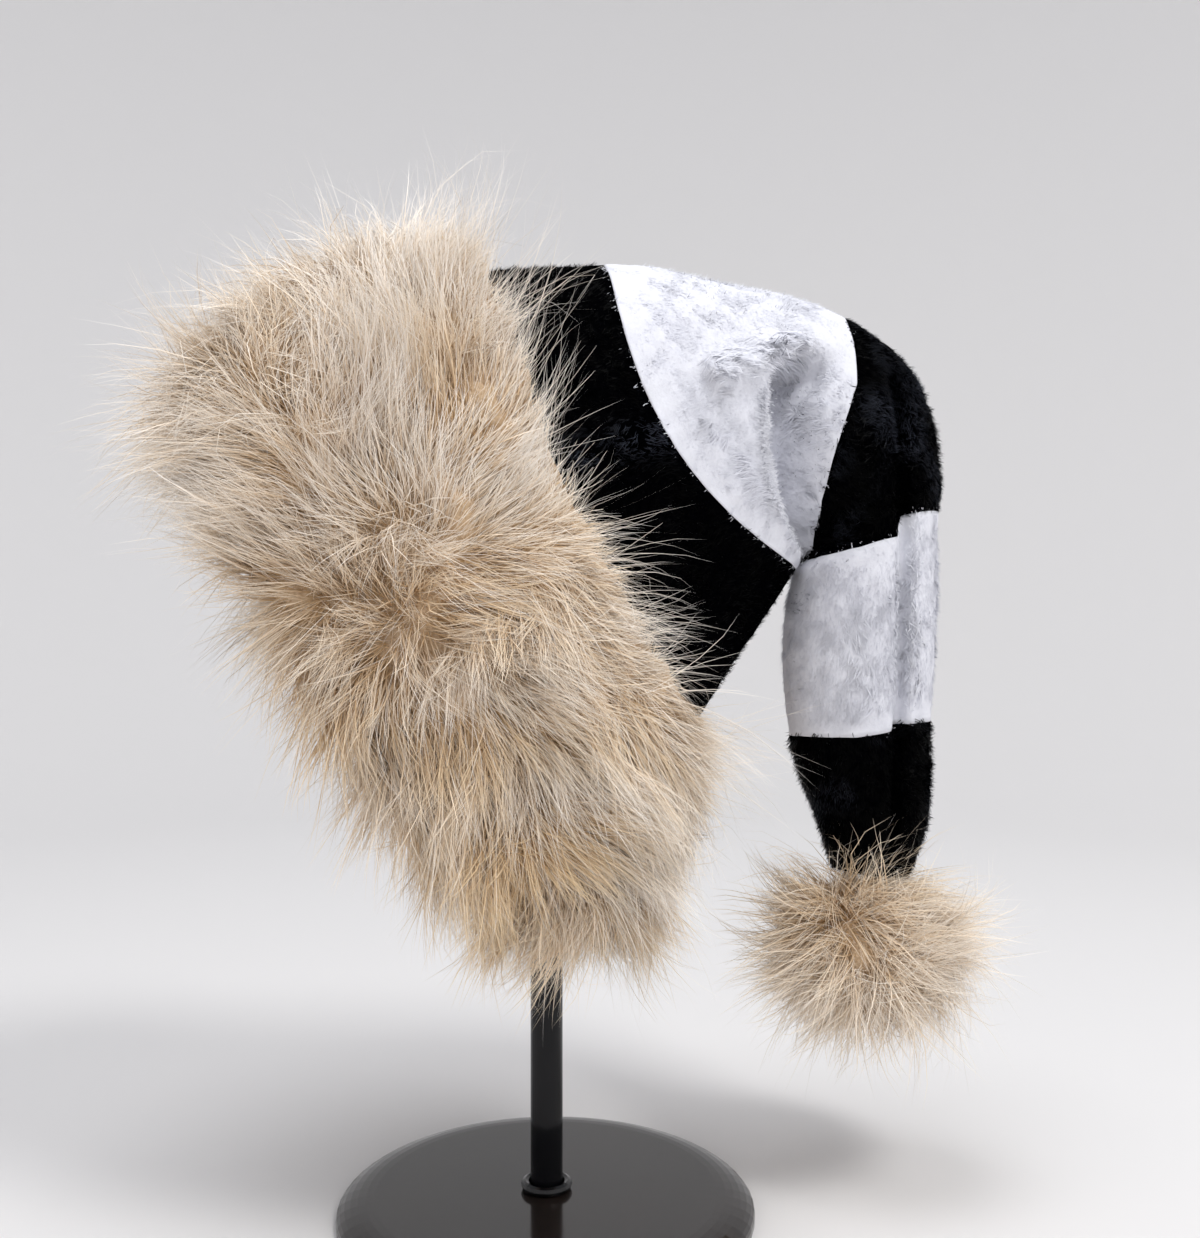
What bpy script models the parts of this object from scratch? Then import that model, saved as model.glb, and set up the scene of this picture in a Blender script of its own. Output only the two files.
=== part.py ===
# A long plush hat of black and white bands, with a deep fur cuff and a fur pompom, on a stand
# with a round base. The hat is modelled in its own upright plane, with X towards the tail and Z up
# from the top of the crown, and the whole hat is then turned a little about the pole.

from math import cos, pi, radians, sin, sqrt

import bmesh
import bpy
import numpy as np
from mathutils import Vector
from mathutils.bvhtree import BVHTree

for old in list(bpy.data.objects):
    bpy.data.objects.remove(old, do_unlink=True)

# Stand, in metres
base_diameter = 0.180
base_thickness = 0.009
base_edge = 0.0025
base_shoulder = 0.016
pole_diameter = 0.014
pole_length = 0.3645
collar_thickness = 0.0038
collar_fit = 0.00004
head_radius = 0.028
head_lip = 0.003

# Hat, in metres: the head opening, and how far the hat stretches from it sideways and upwards
opening_length = 0.256
opening_width = 0.104
hat_reach = 0.298
hat_rise = 0.266
hat_turn = radians(10)
cloth_wall = 0.003

# Fur, in metres: the pile stands off the cloth, and the overhang hangs past the opening's edge
cuff_pile = 0.044
cuff_overhang = 0.058
cuff_tuft = 0.013
pompom_width = 0.091
pompom_height = 0.074
pompom_tuft = 0.011

# Tufts: how much they lean against how much they stand, how their heights vary, and the whorl of
# the cuff that its tufts lean away from, as a place along the cloth
cuff_lean = 0.8
pompom_droop = 0.25
tuft_least = 0.7
tuft_spread = 0.6
golden = (sqrt(5) - 1) / 2
whorl_along = 0.6

# Share of the pompom's half height that its flat seat keeps, and how far round the seat no tuft
# grows, as a share of the seat's own radius
seat_share = 0.9
seat_bare = 1.35

# Shares of the overhang and of the pile taken off at the top side and the underside of the opening,
# and of the overhang where it parts round the pole, over an angle in radians
overhang_less = 0.34
pile_less = 0.18
parting_less = 0.46
parting_spread = 0.4

gap = 0.0003

# Sections of the cloth from the opening to the tip. Each is an oval that stands on a point of the
# hat's underside and rises at its tilt to the hat's top side.
# name, inner x of hat_reach, inner z of hat_rise, tilt in degrees, length of opening_length,
# width, bow towards the opening and fullness of its top end of opening_width
sections = [
    ("opening", 0.081, -1.000, 122.9, 1.000, 1.00, 0.04, 0.25),
    ("under the cuff", 0.148, -0.883, 117.3, 0.938, 1.02, 0.08, 0.25),
    ("end of the cuff", 0.221, -0.759, 116.2, 0.848, 1.00, 0.15, 0.22),
    ("first seam", 0.376, -0.504, 123.6, 0.624, 0.94, 0.27, 0.10),
    ("middle of the white crown", 0.389, -0.481, 106.5, 0.492, 0.81, 0.15, 0.00),
    ("second seam", 0.401, -0.474, 79.4, 0.413, 0.69, 0.03, 0.00),
    ("upper bend", 0.409, -0.477, 61.3, 0.365, 0.63, 0.01, 0.00),
    ("lower bend", 0.411, -0.494, 40.8, 0.290, 0.58, 0.03, 0.00),
    ("third seam", 0.399, -0.515, 25.3, 0.259, 0.54, 0.06, 0.00),
    ("middle of the white tail", 0.361, -0.621, 6.8, 0.280, 0.52, 0.02, 0.00),
    ("fourth seam", 0.371, -0.783, 2.8, 0.256, 0.46, 0.00, 0.00),
    ("upper tip", 0.389, -0.853, 0.0, 0.234, 0.43, 0.00, 0.00),
    ("middle of the tip", 0.413, -0.925, -3.0, 0.200, 0.38, 0.00, 0.00),
    ("end of the tip", 0.438, -1.008, -6.0, 0.140, 0.31, 0.00, 0.00),
]
first_seam = 3
second_seam = 5
third_seam = 8
fourth_seam = 10
tip_end = 13
cuff_end = 2

# Bands of cloth: name, first and last section, rows of faces, colour
bands = [
    ("crown_black", 0, first_seam, 2 * first_seam, "black"),
    ("crown_white", first_seam, second_seam, 8, "white"),
    ("tail_black", second_seam, third_seam, 6, "black"),
    ("tail_white", third_seam, fourth_seam, 4, "white"),
    ("tail_tip", fourth_seam, tip_end, 6, "black"),
]
around = 40
angles = np.linspace(0, 2 * pi, around, endpoint=False)

# Folds pressed into the near side, and more softly into the far side, each along a line between two
# places of the cloth: name, start along and across, end along and across, width before and after
# the line and depth of opening_width. Across runs from -1 on the underside to 1 on the top side,
# and a depth below zero is a ridge.
folds = [
    ("pocket", 4.25, 0.36, 4.02, -0.92, 0.05, 0.26, 0.13),
    ("arch over the pocket", 3.60, 0.27, 4.55, 0.58, 0.09, 0.09, -0.04),
    ("hollow under the arch", 4.16, 0.36, 4.65, 0.34, 0.07, 0.07, 0.05),
    ("crown ridge", 2.00, 0.18, 3.00, 0.05, 0.12, 0.08, -0.035),
    ("groove down the bend", 5.60, 0.56, 7.90, 0.17, 0.05, 0.05, 0.05),
    ("groove down the tail", 7.90, 0.17, 12.60, 0.16, 0.05, 0.05, 0.05),
]
far_share = 0.5

# Cuff outline over the cloth, from the crown round to the opening: where it lies along the cloth,
# in sections, or past the edge as a share of cuff_overhang, and its height as a share of cuff_pile
cuff_outline = [
    ("on the crown", cuff_end, 0.00, 0.04),
    ("crown side", 1.84, 0.00, 0.36),
    ("crown side", 1.46, 0.00, 0.70),
    ("top", 1.00, 0.00, 0.94),
    ("top", 0.52, 0.00, 1.04),
    ("over the edge", 0.00, 0.03, 1.02),
    ("over the edge", 0.00, 0.36, 0.92),
    ("over the edge", 0.00, 0.68, 0.68),
    ("over the edge", 0.00, 0.92, 0.36),
    ("lowest", 0.00, 0.96, 0.02),
    ("inside", 0.00, 0.52, -0.16),
]

column = {name: i for i, name in enumerate(
    ("x", "z", "tilt", "length", "width", "bow", "fullness"))}
table = np.array([row[1:] for row in sections])


# Section values anywhere along the hat, on a smooth curve through the rows of the table
def section(along):
    along = np.asarray(along, float)
    before = np.clip(np.floor(along).astype(int), 0, len(table) - 2)
    t = (along - before)[..., None]
    a, b, c, d = (table[np.clip(before + k, 0, len(table) - 1)] for k in (-1, 0, 1, 2))
    values = b + 0.5 * t * (c - a + t * (2 * a - 5 * b + 4 * c - d + t * (3 * (b - c) + d - a)))
    return {name: values[..., i] for name, i in column.items()}


# Place in the hat's plane of a point at a share across the section, from -1 to 1
def plane_point(along, across):
    s = section(along)
    tilt = np.radians(s["tilt"])
    rise = opening_length * s["length"] * (across + 1) / 2
    back = opening_width * s["bow"] * (1 - across ** 2)
    x = hat_reach * s["x"] + rise * np.cos(tilt) - back * np.sin(tilt)
    z = hat_rise * s["z"] + rise * np.sin(tilt) + back * np.cos(tilt)
    return np.stack([x, z], -1)


# How far the folds press the near side in at each point of the hat's plane
def pressed(points):
    depth = np.zeros(points.shape[:-1])
    for name, along0, across0, along1, across1, before, after, press in folds:
        start = plane_point(along0, across0)
        line = plane_point(along1, across1) - start
        length = np.hypot(*line)
        run = (points - start) @ line / length ** 2
        off = ((points - start) @ np.array([-line[1], line[0]])) / length
        width = opening_width * np.where(off > 0, after, before)
        ends = np.clip(np.minimum(run, 1 - run) / 0.2 + 0.5, 0, 1)
        depth += opening_width * press * np.exp(-(off / width) ** 2) * ends ** 2 * (3 - 2 * ends)
    return depth


# Points of the cloth: an oval in each section's plane, bowed towards the opening, set in from the
# outside by a distance measured in that plane
def cloth(angle, along, inset=0.0):
    angle, along = np.broadcast_arrays(np.asarray(angle, float), np.asarray(along, float))
    s = section(along)
    half = opening_length * s["length"] / 2
    side = opening_width * s["width"] / 2
    full = s["fullness"]
    p = half * np.cos(angle)
    q = side * np.sin(angle) * (1 + full * np.cos(angle))
    dp = -half * np.sin(angle)
    dq = side * (np.cos(angle) + full * np.cos(2 * angle))
    slope = np.hypot(dp, dq)
    p = p - inset * dq / slope
    q = q + inset * dp / slope
    tilt = np.radians(s["tilt"])
    back = opening_width * s["bow"] * np.sin(angle) ** 2
    x = hat_reach * s["x"] + (half + p) * np.cos(tilt) - back * np.sin(tilt)
    z = hat_rise * s["z"] + (half + p) * np.sin(tilt) + back * np.cos(tilt)
    share = np.clip(q / side, 0, 1) ** 0.5 - far_share * np.clip(-q / side, 0, 1) ** 0.5
    y = -q + share * pressed(np.stack([x, z], -1))
    return np.stack([x, y, z], -1)


# Direction along the cloth towards the tip, and the direction straight out of it
def cloth_run(angle, along, step=0.01):
    run = cloth(angle, along + step) - cloth(angle, along)
    return run / np.linalg.norm(run, axis=-1, keepdims=True)


def cloth_out(angle, along, step=0.01):
    across = cloth(angle + step, along) - cloth(angle - step, along)
    out = np.cross(across, cloth_run(angle, along))
    return out / np.linalg.norm(out, axis=-1, keepdims=True)


parts = bpy.data.collections.new("santa_hat_on_stand")
bpy.context.scene.collection.children.link(parts)


def make_material(name, colour, roughness):
    material = bpy.data.materials.new(name)
    material.use_nodes = True
    shader = material.node_tree.nodes["Principled BSDF"]
    shader.inputs["Base Color"].default_value = (*colour, 1)
    shader.inputs["Roughness"].default_value = roughness
    return material


def shade(mesh):
    mesh.shade_smooth()
    mesh.set_sharp_from_angle(angle=radians(40))


def add_object(name, mesh, material, parent=None):
    piece = bpy.data.objects.new(name, mesh)
    piece.parent = parent
    parts.objects.link(piece)
    mesh.materials.append(material)
    shade(mesh)
    return piece


def keep_primitive(name, material):
    piece = bpy.context.object
    for collection in list(piece.users_collection):
        collection.objects.unlink(piece)
    parts.objects.link(piece)
    piece.name = name
    piece.data.name = name
    piece.data.materials.append(material)
    shade(piece.data)
    return piece


# A closed surface through rings of points. Each ring is joined to the next, and the last either to
# the first or, as on a bag, capped like the first. Turned faces look the other way but split along
# the same diagonals, so that a backing lies flat on the cloth under it.
def ring_mesh(name, rings, capped=False, turned_faces=False):
    count = len(rings[0])
    points = list(np.concatenate(rings))
    faces = []
    for i in range(len(rings) - capped):
        low = i * count
        high = (i + 1) % len(rings) * count
        for j in range(count):
            k = (j + 1) % count
            quad = (low + j, low + k, high + k, high + j)
            faces.append((quad[0], *quad[:0:-1]) if turned_faces else quad)
    if capped:
        last = len(points) - count
        for j in range(count):
            k = (j + 1) % count
            faces.append((k, j, len(points)))
            faces.append((last + j, last + k, len(points) + 1))
        points += [rings[0].mean(0), rings[-1].mean(0)]
    mesh = bpy.data.meshes.new(name)
    mesh.from_pydata(np.array(points).tolist(), [], faces)
    mesh.update()
    return mesh


# A profile of (radius, height) points from top to bottom, turned about the pole's axis
def turned(name, profile, material, steps=64):
    mesh = bpy.data.meshes.new(name)
    edges = [(i, i + 1) for i in range(len(profile) - 1)]
    mesh.from_pydata([(r, 0, z) for r, z in profile], edges, [])
    piece = add_object(name, mesh, material)
    screw = piece.modifiers.new("Turn", "SCREW")
    screw.steps = steps
    screw.render_steps = steps
    screw.use_merge_vertices = True
    screw.merge_threshold = 0.00001
    screw.use_smooth_shade = True
    return piece


stand_black = make_material("stand_enamel", (0.012, 0.011, 0.012), 0.22)
fur_beige = make_material("fur_beige", (0.70, 0.56, 0.40), 0.85)
cloth_colours = {
    "black": make_material("plush_black", (0.006, 0.006, 0.008), 0.9),
    "white": make_material("plush_white", (0.86, 0.85, 0.88), 0.9),
}


def make_base():
    radius = base_diameter / 2
    profile = [(0, base_thickness)]
    for turn in np.linspace(0, pi / 2, 8):
        profile.append((
            radius - base_shoulder * (1 - sin(turn)),
            base_edge + (base_thickness - base_edge) * cos(turn),
        ))
    profile += [(radius, 0), (0, 0)]
    return turned("stand_base", profile, stand_black.copy(), steps=64)


def make_pole():
    bpy.ops.mesh.primitive_cylinder_add(
        vertices=32, radius=pole_diameter / 2, depth=pole_length,
        location=(0, 0, base_thickness + gap + pole_length / 2))
    return keep_primitive("stand_pole", stand_black.copy())


def make_collar():
    tube = collar_thickness / 2
    bpy.ops.mesh.primitive_torus_add(
        major_segments=28, minor_segments=8,
        major_radius=pole_diameter / 2 + gap + tube + collar_fit, minor_radius=tube,
        location=(0, 0, base_thickness + gap + tube))
    return keep_primitive("stand_collar", stand_black.copy())


head_floor = base_thickness + gap + pole_length + gap
head_centre = head_floor + head_lip


def make_head():
    profile = [(head_radius * sin(turn), head_centre + head_radius * cos(turn))
               for turn in np.linspace(0, pi / 2, 9)]
    profile += [(head_radius, head_floor), (0, head_floor)]
    return turned("stand_head", profile, stand_black.copy(), steps=32)


# A band of cloth between two sections, its ends drawn back from the seams by the gap. The tip's
# band is closed at its end, with a wall across it.
def make_band(name, start, end, rows, colour):
    places = np.linspace(start, end, rows + 1)
    outer = [cloth(angles, place) for place in places]
    inner = [cloth(angles, place, cloth_wall) for place in places]
    if start > 0:
        for rings in (outer, inner):
            rings[0] += gap * cloth_run(angles, start)
    if end < tip_end:
        for rings in (outer, inner):
            rings[-1] += gap * cloth_run(angles, end, -0.01)
        mesh = ring_mesh(name, outer + inner[::-1])
    else:
        inner[-1] += cloth_wall * cloth_run(angles, end, -0.01)
        mesh = ring_mesh(name, inner[::-1] + outer, capped=True)
    return add_object(name, mesh, cloth_colours[colour].copy(), hat)


# Raises the middle of each face into a leaning tuft. Its height and lean vary from one to the
# next by steps of the golden ratio, so that no two neighbours match.
def raise_tufts(shape, faces, height, lean, skip=lambda middle: 0):
    middles = [(face.calc_center_median(), face.normal.copy()) for face in faces]
    pokes = bmesh.ops.poke(shape, faces=faces)["verts"]
    for i, (tip, (middle, normal)) in enumerate(zip(pokes, middles)):
        vary = tuft_least + tuft_spread * (i * golden % 1)
        keep = 1 - skip(middle)
        tip.co = middle + keep * height * vary * (normal + lean(middle)).normalized()


# Shares of the overhang and the pile left round the opening
def overhang_left(angle):
    ends = np.cos(angle / 2) ** 6 + np.sin(angle / 2) ** 6
    parting = np.exp(-((angle - pi) / parting_spread) ** 2)
    return 1 - overhang_less * ends - parting_less * parting


def pile_left(angle):
    return 1 - pile_less * np.cos(angle) ** 2


# The cuff: a backing that lies on the cloth and an outer form of tufts that lean away from the
# middle of the opening's side
def make_cuff():
    rings = []
    for name, along, past, height in cuff_outline:
        beyond = cuff_overhang * past * overhang_left(angles)[:, None] + gap
        base = cloth(angles, along) - (beyond * cloth_run(angles, 0) if past else 0)
        pile = cuff_pile * height * pile_left(angles)[:, None]
        rings.append(base + pile * cloth_out(angles, along))
    edge = cloth(angles, 0) - 2 * gap * cloth_run(angles, 0) + 2 * gap * cloth_out(angles, 0)
    backing = [cloth(angles, place) + 2 * gap * cloth_out(angles, place)
               for place in np.linspace(0, cuff_end, 2 * cuff_end + 1)]
    mesh = ring_mesh("cuff_fur", backing + rings + [edge], turned_faces=True)
    shape = bmesh.new()
    shape.from_mesh(mesh)
    shape.faces.ensure_lookup_table()
    shape.normal_update()
    first = len(backing) + 1
    tufted = list(shape.faces)[around * first:around * (first + len(rings) - 3)]
    middle = plane_point(whorl_along, 0.0)
    whorl = Vector((middle[0], 0, middle[1]))
    raise_tufts(shape, tufted, cuff_tuft, lambda at: (at - whorl).normalized() * cuff_lean)
    shape.to_mesh(mesh)
    shape.free()
    return add_object("cuff_fur", mesh, fur_beige.copy(), hat)


# The pompom hangs on the end of the tip: a head with a flat seat for the cloth, all round it tufts
def make_pompom():
    end = cloth(angles, tip_end).mean(0)
    tilt = radians(float(section(tip_end)["tilt"]))
    hang = Vector((sin(tilt), 0, -cos(tilt)))
    half = Vector((pompom_width, pompom_width, pompom_height)) / 2
    seat = seat_share * half.z
    bare = seat_bare * sqrt(1 - seat_share ** 2) * half.x
    bpy.ops.mesh.primitive_ico_sphere_add(subdivisions=3, radius=1)
    pompom = keep_primitive("pompom", fur_beige.copy())
    pompom.parent = hat
    pompom.location = Vector(end) + hang * (seat + gap)
    shape = bmesh.new()
    shape.from_mesh(pompom.data)
    for vert in shape.verts:
        vert.co = Vector(a * b for a, b in zip(vert.co, half))
    shape.normal_update()
    raise_tufts(
        shape, list(shape.faces), pompom_tuft, lambda at: Vector((0, 0, -pompom_droop)),
        lambda at: float(at.dot(hang) < 0 and at.cross(hang).length < bare))
    for vert in shape.verts:
        above = -vert.co.dot(hang) - seat
        if above > 0:
            vert.co += hang * above
    shape.to_mesh(pompom.data)
    shape.free()
    shade(pompom.data)
    return pompom


# Lowers the hat onto the rounded head until its lining lies the gap away from it
def seat_hat(crown):
    lining = BVHTree.FromPolygons(
        [vert.co for vert in crown.data.vertices],
        [face.vertices for face in crown.data.polygons])
    lift = head_centre + head_radius
    for attempt in range(12):
        centre = Vector((0, 0, head_centre - lift))
        clear = lining.find_nearest(centre)[3] - head_radius
        lift += gap - clear
    return lift


hat = bpy.data.objects.new("hat", None)
parts.objects.link(hat)
make_base()
make_pole()
make_collar()
make_head()
cloth_bands = {row[0]: make_band(*row) for row in bands}
make_cuff()
make_pompom()
hat.location.z = seat_hat(cloth_bands["crown_black"])
hat.rotation_euler.z = hat_turn
bpy.context.view_layer.update()
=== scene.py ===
# A long plush hat with a deep fur cuff and a fur pompom, on its stand.
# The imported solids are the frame. The soft pieces are worked out here over the same sections.
from math import pi, radians

import bpy
import numpy as np
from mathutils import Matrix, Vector


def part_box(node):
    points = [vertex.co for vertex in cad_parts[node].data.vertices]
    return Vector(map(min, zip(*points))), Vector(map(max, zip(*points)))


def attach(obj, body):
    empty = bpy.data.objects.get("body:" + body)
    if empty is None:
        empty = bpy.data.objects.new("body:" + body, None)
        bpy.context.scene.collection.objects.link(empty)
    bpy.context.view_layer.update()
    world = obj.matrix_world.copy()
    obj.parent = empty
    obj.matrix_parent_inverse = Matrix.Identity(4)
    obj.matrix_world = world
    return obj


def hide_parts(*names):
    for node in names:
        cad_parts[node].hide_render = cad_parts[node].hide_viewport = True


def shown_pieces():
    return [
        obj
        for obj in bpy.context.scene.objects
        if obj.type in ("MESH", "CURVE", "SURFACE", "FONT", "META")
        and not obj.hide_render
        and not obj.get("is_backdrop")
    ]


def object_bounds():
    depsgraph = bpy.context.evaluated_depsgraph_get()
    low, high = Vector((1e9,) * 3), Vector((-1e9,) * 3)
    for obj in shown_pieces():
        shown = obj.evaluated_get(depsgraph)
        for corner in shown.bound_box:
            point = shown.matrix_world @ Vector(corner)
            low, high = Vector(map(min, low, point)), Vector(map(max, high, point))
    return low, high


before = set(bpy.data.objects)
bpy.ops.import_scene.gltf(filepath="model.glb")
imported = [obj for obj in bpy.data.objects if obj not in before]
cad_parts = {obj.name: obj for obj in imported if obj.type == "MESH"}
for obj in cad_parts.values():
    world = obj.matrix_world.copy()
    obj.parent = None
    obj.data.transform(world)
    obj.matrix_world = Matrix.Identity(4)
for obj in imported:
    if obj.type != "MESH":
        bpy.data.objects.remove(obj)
cadLow, cadHigh = (np.array(corner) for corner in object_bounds())
print("frame loaded")

# The hat in its own upright plane: X towards the tail, Z up from the top of the crown, metres
hat = {
    "openingLength": 0.256,
    "openingWidth": 0.104,
    "reach": 0.298,
    "rise": 0.266,
    "turn": radians(10),
    "wall": 0.003,
    "farShare": 0.5,  # how much of each fold shows on the far side
    "foldEnd": 0.2,  # share of a fold's line over which it fades at each end
}

# inner x of reach, inner z of rise, tilt in degrees, length of openingLength, width, bow towards
# the opening and fullness of its top end of openingWidth
sections = np.array([
    (0.081, -1.000, 122.9, 1.000, 1.00, 0.04, 0.25),  # opening
    (0.148, -0.883, 117.3, 0.938, 1.02, 0.08, 0.25),
    (0.221, -0.759, 116.2, 0.848, 1.00, 0.15, 0.22),  # end of the cuff
    (0.376, -0.504, 123.6, 0.624, 0.94, 0.27, 0.10),  # first seam
    (0.389, -0.481, 106.5, 0.492, 0.81, 0.15, 0.00),
    (0.401, -0.474, 79.4, 0.413, 0.69, 0.03, 0.00),  # second seam
    (0.409, -0.477, 61.3, 0.365, 0.63, 0.01, 0.00),
    (0.411, -0.494, 40.8, 0.290, 0.58, 0.03, 0.00),
    (0.383, -0.492, 18.8, 0.268, 0.54, 0.06, 0.00),  # third seam
    (0.361, -0.621, 6.8, 0.280, 0.52, 0.02, 0.00),
    (0.371, -0.783, 2.8, 0.256, 0.46, 0.00, 0.00),  # fourth seam
    (0.389, -0.853, 0.0, 0.234, 0.43, 0.00, 0.00),
    (0.413, -0.925, -3.0, 0.200, 0.38, 0.00, 0.00),
    (0.438, -1.008, -6.0, 0.140, 0.31, 0.00, 0.00),  # end of the tip
])

# start along and across, end along and across, sag of the line's middle, width before and after
# the line, depth
folds = np.array([
    (4.29, 0.36, 3.94, -0.95, 0.125, 0.018, 0.17, 0.27),  # pocket
    (3.60, 0.27, 4.55, 0.58, 0.0, 0.08, 0.09, -0.06),  # arch over the pocket
    (4.16, 0.36, 4.65, 0.34, 0.0, 0.07, 0.07, 0.05),
    (2.00, 0.18, 3.00, 0.05, 0.0, 0.12, 0.08, -0.035),  # crown ridge
    (5.50, 0.66, 7.90, 0.27, 0.0, 0.035, 0.035, 0.075),  # groove down the bend
    (7.70, 0.28, 12.60, 0.20, 0.0, 0.03, 0.03, 0.075),  # groove down the tail
])

# along the cloth, past the edge as a share of the overhang, height as a share of the pile
cuffOutline = np.array([
    (2.00, 0.00, 0.04), (1.84, 0.00, 0.36), (1.46, 0.00, 0.70), (1.00, 0.00, 0.94),
    (0.52, 0.00, 1.04), (0.00, 0.03, 1.02), (0.00, 0.36, 0.92), (0.00, 0.68, 0.68),
    (0.00, 0.92, 0.36), (0.00, 0.96, 0.02), (0.00, 0.52, -0.16),
])


# Rows of a table read at any place between them, on the smooth curve through the rows
def curveThrough(rows, place):
    place = np.asarray(place, float)
    before = np.clip(np.floor(place).astype(int), 0, len(rows) - 2)
    t = (place - before)[..., None]
    a, b, c, d = (rows[np.clip(before + k, 0, len(rows) - 1)] for k in (-1, 0, 1, 2))
    return b + 0.5 * t * (c - a + t * (2 * a - 5 * b + 4 * c - d + t * (3 * (b - c) + d - a)))


# A point of the hat's plane: up the tilted section by its share of the length, less the bow
def planePoint(along, across):
    columns = curveThrough(sections, along)[..., [0, 1, 2, 3, 5]]
    x, z, tilt, length, bow = np.moveaxis(columns, -1, 0)
    tilt = np.radians(tilt)
    rise = hat["openingLength"] * length * (across + 1) / 2
    back = hat["openingWidth"] * bow * (1 - across ** 2)
    return np.stack([
        hat["reach"] * x + rise * np.cos(tilt) - back * np.sin(tilt),
        hat["rise"] * z + rise * np.sin(tilt) + back * np.cos(tilt),
    ], -1)


# Depth pressed in by every fold: a bell across each fold's line, fading at the line's two ends
def pressed(points):
    depth = np.zeros(points.shape[:-1])
    for along0, across0, along1, across1, sag, before, after, press in folds:
        start = planePoint(along0, across0)
        line = planePoint(along1, across1) - start
        length = np.hypot(*line)
        run = (points - start) @ line / length ** 2
        off = ((points - start) @ np.array([-line[1], line[0]])) / length
        off = off + hat["openingWidth"] * sag * 4 * np.clip(run * (1 - run), 0, 1)
        width = hat["openingWidth"] * np.where(off > 0, after, before)
        ends = np.clip(np.minimum(run, 1 - run) / hat["foldEnd"] + 0.5, 0, 1)
        bell = np.exp(-(off / width) ** 2) * ends ** 2 * (3 - 2 * ends)
        depth += hat["openingWidth"] * press * bell
    return depth


# Cloth of the hat over angle and place along it: an oval in each tilted section, bowed towards
# the opening, fuller at its top end, set in by an inset, with the folds pressed in
def cloth(angle, along, inset=0.0):
    angle, along = np.broadcast_arrays(np.asarray(angle, float), np.asarray(along, float))
    x, z, tilt, length, width, bow, full = np.moveaxis(curveThrough(sections, along), -1, 0)
    half = hat["openingLength"] * length / 2
    side = hat["openingWidth"] * width / 2
    p = half * np.cos(angle)
    q = side * np.sin(angle) * (1 + full * np.cos(angle))
    dp = -half * np.sin(angle)
    dq = side * (np.cos(angle) + full * np.cos(2 * angle))
    slope = np.hypot(dp, dq)
    p = p - inset * dq / slope
    q = q + inset * dp / slope
    tilt = np.radians(tilt)
    back = hat["openingWidth"] * bow * np.sin(angle) ** 2
    px = hat["reach"] * x + (half + p) * np.cos(tilt) - back * np.sin(tilt)
    pz = hat["rise"] * z + (half + p) * np.sin(tilt) + back * np.cos(tilt)
    share = np.clip(q / side, 0, 1) ** 0.5 - hat["farShare"] * np.clip(-q / side, 0, 1) ** 0.5
    py = -q + share * pressed(np.stack([px, pz], -1))
    return np.stack([px, py, pz], -1)


# Vectors over their own length
def unit(vectors):
    return vectors / np.maximum(np.linalg.norm(vectors, axis=-1, keepdims=True), 1e-9)


# Vectors square to an axis, turned about it: cosine times each, plus sine times its cross product
def turnAbout(vectors, axis, angle):
    c, s = np.cos(angle)[:, None], np.sin(angle)[:, None]
    return vectors * c + np.cross(axis, vectors) * s


# Seams on the near side: how far each is drawn along the cloth, at places across it
seamShapes = {
    5: ((-1.0, 0.0), (-0.6, -0.22), (-0.3, -0.19), (0.05, -0.09), (0.35, -0.02), (0.62, -0.07),
        (1.0, -0.15)),
    8: ((-1.0, -0.05), (-0.7, 0.12), (-0.33, 0.20), (0.24, 0.22), (0.31, -0.04), (1.0, -0.04)),
    10: ((-1.0, -0.02), (-0.3, 0.0), (0.25, -0.05), (0.32, -0.11), (1.0, -0.10)),
}


# Place of a seam along the cloth: its section, drawn by the table on the near side alone
def seamPlace(angle, seam):
    near = np.clip(3 * np.sin(angle), 0, 1)
    across, drawn = np.array(seamShapes.get(seam, ((-1, 0), (1, 0)))).T
    return seam + near * np.interp(np.cos(angle), across, drawn)


# Direction along the cloth towards the tip: from each place to the one a small step on
def clothRun(angle, along, step=0.01):
    return unit(cloth(angle, along + step) - cloth(angle, along))


# Direction straight out of the cloth: square to the steps round it and along it
def clothOut(angle, along, step=0.01):
    across = cloth(angle + step, along) - cloth(angle - step, along)
    return unit(np.cross(across, clothRun(angle, along)))


# Height of the hat on its stand: the crown's top in the frame against its top in these sections
cadAngles = np.linspace(0, 2 * pi, 40, endpoint=False)
cadRows = cloth(cadAngles, np.linspace(3, 5, 9)[1:-1, None])
hat["lift"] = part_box("crown_white")[1][2] - cadRows[..., 2].max()
print("lift", round(hat["lift"], 5))


# The hat's plane turned about the pole, and lifted
def toWorld(points):
    c, s = np.cos(hat["turn"]), np.sin(hat["turn"])
    x, y, z = points[..., 0], points[..., 1], points[..., 2]
    return np.stack([x * c - y * s, x * s + y * c, z + hat["lift"]], -1)


# Smooth drift over space: a sum of sine waves of about one size with seeded directions, three
# sums with their own phases, each mostly between -1 and 1
def drift(points, size, seed, waveCount=10, evenOut=3.2):
    rng = np.random.default_rng(seed)
    waves = rng.normal(size=(waveCount, 3)) / size
    phases = rng.uniform(0, 2 * pi, (waveCount, 3))
    turns = points @ waves.T
    return np.stack([np.sin(turns + phases[:, k]).sum(-1) for k in range(3)], -1) / evenOut


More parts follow.
